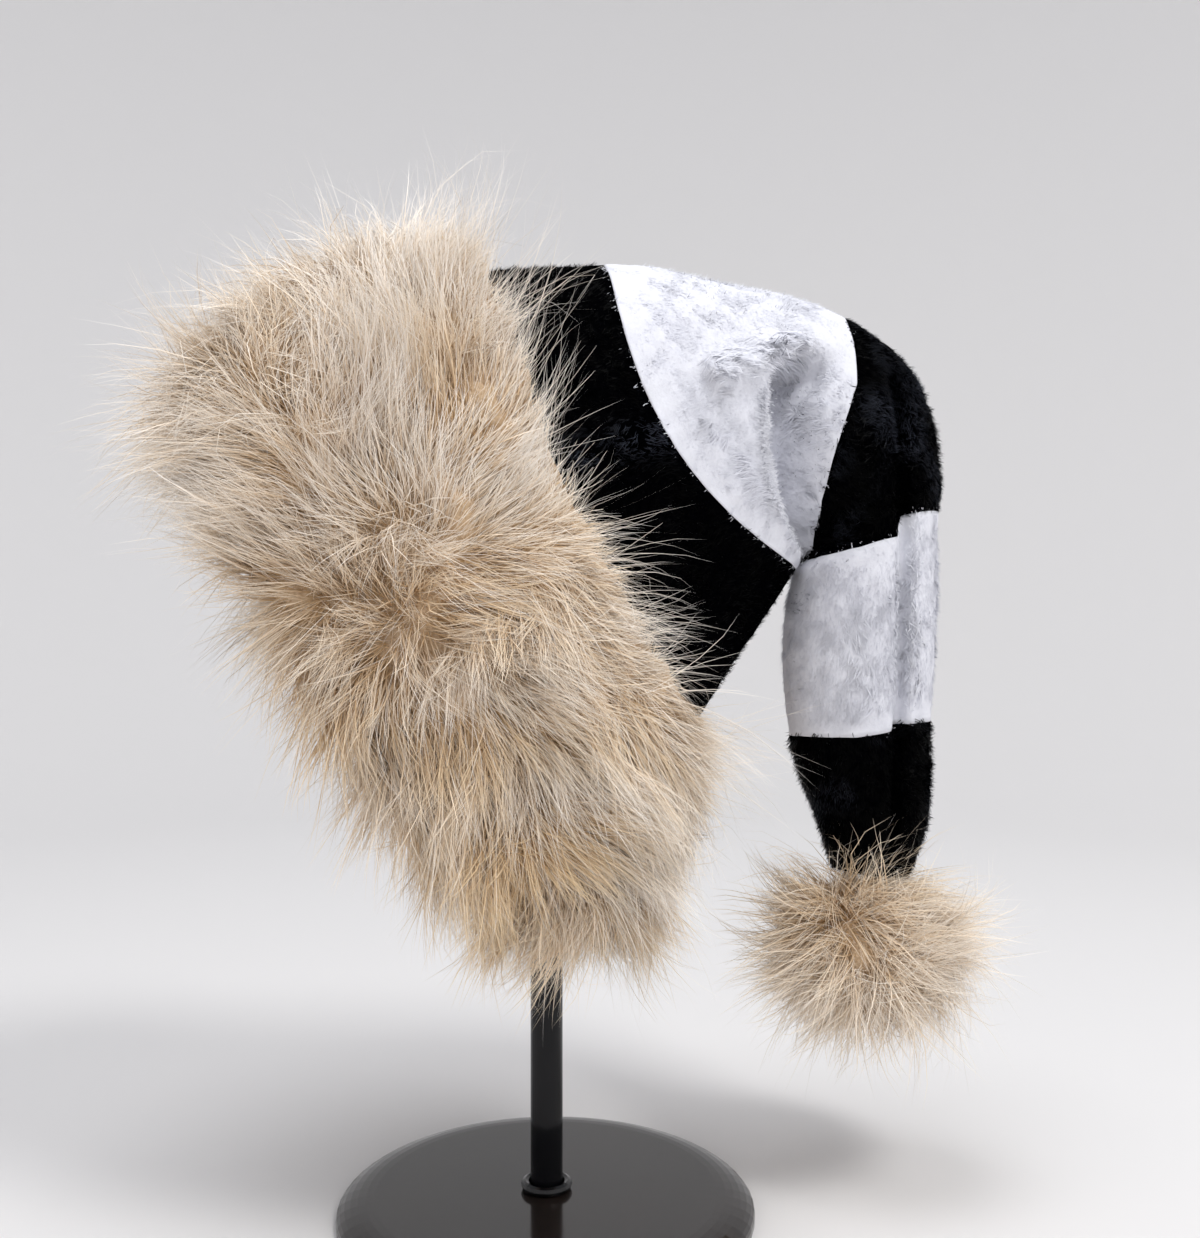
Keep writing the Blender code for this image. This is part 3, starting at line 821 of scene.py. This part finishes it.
furWarmthAndShade = {
    "upper": 0.20,
    "lower": 0.42,  # more of it in the lower lobe, partly its own warmer colour, partly painted shade
    "right": 0.40,  # less of it at the lower right, painted light, growing over rightOver from x = 0
    "rightOver": 0.05,
    "amber": 0.5,  # more of it in one patch at x and z, of this size
    "amberPlace": (-0.024, -0.255),
    "amberSize": 0.018,
    "uneven": 0.25,
    "unevenSize": 0.016,
}


# Warmth of the fur over the hat's plane, partly its own colour and partly painted shade: pale in
# the upper lobe and at the lower right where light falls, warmer and darker low down, amber in one
# patch, on a slow drift
def furToneAndShade(points):
    low = lowerLobe(points)
    right = np.clip(points[:, 0] / furWarmthAndShade["rightOver"], 0, 1) * low
    away = points[:, ::2] - np.array(furWarmthAndShade["amberPlace"])
    amber = np.exp(-(away ** 2).sum(-1) / furWarmthAndShade["amberSize"] ** 2)
    tone = furWarmthAndShade["upper"] + furWarmthAndShade["lower"] * low - furWarmthAndShade["right"] * right
    tone = tone + furWarmthAndShade["amber"] * amber
    uneven = drift(points, furWarmthAndShade["unevenSize"], 77)[:, 1]
    return np.clip(tone + furWarmthAndShade["uneven"] * uneven, 0, 1)


# Unit directions in the hat's plane away from the nearest place of the parting, and how far it is
def fromParting(points):
    start, stop = (np.array(end) for end in cuff["parting"])
    line = stop - start
    plane = points[:, ::2] + cuff["wander"] * drift(points, 0.014, 78)[:, :2]
    run = np.clip((plane - start) @ line / (line @ line), 0, 1)
    away = plane - start - run[:, None] * line
    distance = np.linalg.norm(away, axis=-1)
    return np.stack([away[:, 0], 0 * distance, away[:, 1]], -1), distance


cuffPieces = {  # name: first and last angle, wisps, seed
    "cuffFurUpper": ((0.0, 0.5 * pi), 3000, 200),
    "cuffFurLower": ((0.5 * pi, pi), 3200, 210),
    "cuffFurFarUpper": ((-0.5 * pi, 0.0), 1600, 220),
    "cuffFurFarLower": ((pi, 1.5 * pi), 1700, 230),
}


# Hair of the cuff: away from the parting, and along the cuff's top where that points straight out;
# short where the fur meets the crown, but for the long guard hairs
def makeCuffHair(name, angles, wisps, seed):
    rng = np.random.default_rng(seed)
    rows = (cuff["rowsLeft"][0], lastRow - cuff["rowsLeft"][1])
    angle, row = scatter(cuffBed, angles, rows, wisps, rng)
    roots = cuffBed(angle, row)
    outward = outOf(cuffForm, angle, row)
    away, distance = fromParting(roots)
    away = unit(away)
    away -= (away * outward).sum(-1, keepdims=True) * outward
    flat = np.linalg.norm(away, axis=-1, keepdims=True)
    toOpening = unit(cuffForm(angle, row + 0.01) - cuffForm(angle, row - 0.01))
    away += toOpening * (1 - flat) * np.clip(row - cuff["turnRow"], -1, 1)[:, None]
    calm = np.clip(distance / cuff["partingCalm"], cuff["partingLay"], 1)
    patch = drift(roots, cuff["patchSize"], 2)
    swirl = cuff["swirl"] * (0.5 + 0.5 * lowerLobe(roots)) * patch[:, 1]
    combed = turnAbout(away * calm[:, None], outward, swirl)
    longReach = cuff["reach"] * (1 + cuff["uneven"] * patch[:, 0])
    top = np.exp(-(angle / cuff["topWidth"]) ** 2) * np.clip(1.4 - row / 5, 0, 1)
    longReach = longReach * (1 - cuff["topLess"] * top)
    reach = longReach * np.interp(row, *np.array(cuff["rowReach"]).T)
    lockGather = cuff["lockGather"][0] + cuff["lockGather"][1] * lowerLobe(roots)
    piece = growHair(name, roots, outward, combed, reach, furToneAndShade(roots), cuffHair, seed,
                     longReach=longReach, lockGather=lockGather)
    piece.data.materials.append(furHair)
    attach(piece, "root")


for name, row in cuffPieces.items():
    makeCuffHair(name, *row)
print("cuff grown")

pompom = {
    "width": 0.091,
    "height": 0.074,
    "seat": 0.9,  # share of the half height by which it hangs under the tip's end
    "gap": 0.0003,
    "bed": 0.66,  # share of the ball that the underfur fills
    "bedRelief": 0.003,
    "rooted": 0.97,  # share of the bed's size where hair is rooted
    "reach": 0.047,
    "uneven": (0.15, 0.02),  # how much patches differ in length, and their size
    "wisps": 2100,
    "whorl": (-0.80, -0.46, 0.42),  # where the hair parts
    "swirl": 0.30,
    "lockGather": 0.55,
    "warmth": 0.25,
    "paintedShadeAcross": 4,  # painted shade: darker and warmer towards -X, less of it per metre towards X
    "warmthUneven": (0.25, 0.014),
}
pompomHair = {**cuffHair, "leanRoot": 0.36, "leanTip": 0.80, "lockSize": 0.013,
              "lockStray": 0.46, "wispStray": 0.28, "droop": 0.08, "guardReach": 1.05,
              "curl": 0.0036, "locks": 120}
tipTilt = radians(sections[-1][2])
hang = np.array([np.sin(tipTilt), 0, -np.cos(tipTilt)])
tipEnd = cloth(cadAngles, 13.0).mean(0)
pompom["centre"] = tipEnd + hang * (
    pompom["height"] / 2 * pompom["seat"] + pompom["gap"])


# Ball of the pompom over its longitude and its height from pole to pole
def pompomBall(turn, height, share=1.0):
    turn, height = np.broadcast_arrays(np.asarray(turn, float), np.asarray(height, float))
    ring = np.sqrt(np.clip(1 - height ** 2, 0, 1))
    ball = np.stack([ring * np.cos(turn), ring * np.sin(turn), height], -1)
    half = np.array([pompom["width"], pompom["width"], pompom["height"]]) / 2
    return pompom["centre"] + ball * half * share


# Its underfur is that ball made smaller, roughened by a drift; its hair is combed away from the
# whorl and round it
def makePompom():
    rng = np.random.default_rng(300)
    turns = np.linspace(0, 2 * pi, 60, endpoint=False)[None]
    heights = np.sin(np.linspace(-0.5 * pi, 0.5 * pi, 34)[1:-1])[:, None]
    bed = pompomBall(turns, heights, pompom["bed"])
    bed = bed + drift(bed, 0.006, 31)[..., :1] * pompom["bedRelief"] * unit(bed - pompom["centre"])
    piece = addRings("pompomBed", bed, ends=True)
    piece.data.materials.append(furBed)
    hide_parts("pompom")
    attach(piece, "root")
    turn = rng.uniform(0, 2 * pi, pompom["wisps"])
    height = rng.uniform(-1, 1, pompom["wisps"])
    roots = pompomBall(turn, height, pompom["bed"] * pompom["rooted"])
    outward = unit(roots - pompom["centre"])
    whorl = unit(np.array(pompom["whorl"]))
    away = outward - whorl
    away -= (away * outward).sum(-1, keepdims=True) * outward
    combed = unit(unit(away) + pompom["swirl"] * np.cross(outward, whorl))
    uneven, size = pompom["uneven"]
    reach = pompom["reach"] * (1 + uneven * drift(roots, size, 33)[:, 0])
    uneven, size = pompom["warmthUneven"]
    # Painted shade: the pompom's hair darkens and warms towards -X
    tone = pompom["warmth"] - pompom["paintedShadeAcross"] * (roots[:, 0] - pompom["centre"][0])
    tone = np.clip(tone + uneven * drift(roots, size, 34)[:, 1], 0, 1)
    piece = growHair("pompomFur", roots, outward, combed, reach, tone, pompomHair, 310,
                     lockGather=np.full(pompom["wisps"], pompom["lockGather"]))
    piece.data.materials.append(furHair)
    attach(piece, "root")


makePompom()
print("pompom grown")


# Enamel: a slight orange peel in its relief, and a cloud of dust in its colour and gloss
def enamel(name, base, roughness, shine):
    material, tree, shader = newMaterial(name, Roughness=roughness, Specular_IOR_Level=shine)
    place = node(tree, "TexCoord")
    peel = node(tree, "TexNoise", Vector=place.outputs["Object"], Scale=260.0, Detail=2.0)
    dust = node(tree, "TexNoise", Vector=place.outputs["Object"], Scale=38.0, Detail=6.0)
    relief = node(tree, "Bump", Height=peel.outputs[0], Strength=0.05, Distance=0.0004)
    cloud = node(tree, "MapRange", i0=dust.outputs[0], i1=0.45, i2=0.8, i3=0.0, i4=1.0)
    colour = node(tree, "Mix", {"data_type": "RGBA"}, i0=cloud.outputs[0], i6=(*base, 1),
                  i7=(base[0] * 1.6, base[1] * 1.5, base[2] * 1.5, 1))
    rough = node(tree, "MapRange", i0=dust.outputs[0], i1=0.3, i2=0.8, i3=roughness * 0.8,
                 i4=roughness * 1.3)
    tree.links.new(colour.outputs[2], shader.inputs["Base Color"])
    tree.links.new(rough.outputs[0], shader.inputs["Roughness"])
    tree.links.new(relief.outputs["Normal"], shader.inputs["Normal"])
    return material


standFinish = {
    "stand_base": enamel("baseEnamel", (0.012, 0.009, 0.008), 0.12, 0.55),
    "stand_pole": enamel("poleEnamel", (0.003, 0.003, 0.004), 0.13, 0.22),
    "stand_collar": enamel("collarEnamel", (0.004, 0.004, 0.005), 0.14, 0.40),
    "stand_head": enamel("headPlastic", (0.012, 0.012, 0.013), 0.40, 0.40),
}
for name, material in standFinish.items():
    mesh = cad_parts[name].data
    mesh.materials.clear()
    mesh.materials.append(material)
print("stand finished")

stage = {"inner": (0.02, 0.4, 0.8), "flat": 1.1, "radius": 2.4, "height": 2.0}


# Pale floor that turns up into a round backdrop: a flat disc, then a quarter of an oval
def makeStage():
    turns = np.linspace(0, 2 * pi, 96, endpoint=False)
    rise = np.linspace(0, 0.5 * pi, 16)
    flat = np.array(stage["inner"])
    radius = np.append(flat, stage["flat"] + (stage["radius"] - stage["flat"]) * np.sin(rise))
    height = np.append(0 * flat, stage["height"] * (1 - np.cos(rise)))
    rings = np.stack([radius[:, None] * np.cos(turns), radius[:, None] * np.sin(turns),
                      height[:, None] + 0 * turns - hat["lift"]], -1)
    floor = addRings("floor", rings)
    material, tree, shader = newMaterial("paleFloor", Roughness=0.7, Specular_IOR_Level=0.0)
    shader.inputs["Base Color"].default_value = (0.80, 0.79, 0.79, 1)
    floor.data.materials.append(material)
    floor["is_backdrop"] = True


makeStage()


lights = {  # name: place, aim, size across, power in watts, colour
    "keyLight": ((1.0, -1.0, 2.1), (0.05, 0, 0.25), 0.6, 23.0, (1.0, 0.99, 0.97)),
    "topLight": ((-0.2, -0.35, 2.3), (0.0, 0, 0.25), 1.1, 20.0, (0.97, 0.98, 1.0)),
}


# A round soft light turned towards its aim
def softLight(name, place, aim, size, power, colour):
    data = bpy.data.lights.new(name, "AREA")
    data.shape = "DISK"
    data.size = size
    data.energy = power
    data.color = colour
    light = bpy.data.objects.new(name, data)
    light.location = place
    towards = Vector(aim) - Vector(place)
    light.rotation_euler = towards.to_track_quat("-Z", "Y").to_euler()
    bpy.context.scene.collection.objects.link(light)


for name, row in lights.items():
    softLight(name, *row)

softRoom = {"colour": (0.93, 0.95, 1.0, 1), "strength": 0.42}
world = bpy.data.worlds.new("softRoom")
bpy.context.scene.world = world
world.use_nodes = True
background = world.node_tree.nodes["Background"]
background.inputs["Color"].default_value = softRoom["colour"]
background.inputs["Strength"].default_value = softRoom["strength"]
bpy.context.scene.view_settings.view_transform = "Standard"

view = {  # in pixels of the photograph, but for the camera's place
    "place": (0.0232, -0.574, 0.2625),
    "focal": 1320,
    "frameHeight": 1238,
    "horizon": 605,
}
cameraData = bpy.data.cameras.new("camera")
cameraData.lens = view["focal"] * cameraData.sensor_width / view["frameHeight"]
cameraData.shift_y = (view["horizon"] - view["frameHeight"] / 2) / view["frameHeight"]
camera = bpy.data.objects.new("camera", cameraData)
camera.location = view["place"]
camera.rotation_euler = (pi / 2, 0, 0)
bpy.context.scene.collection.objects.link(camera)
bpy.context.scene.camera = camera

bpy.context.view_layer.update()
counts = {o.name: len(o.data.loops) - 2 * len(o.data.polygons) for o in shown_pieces()}
print("triangles", sum(counts.values()), counts)
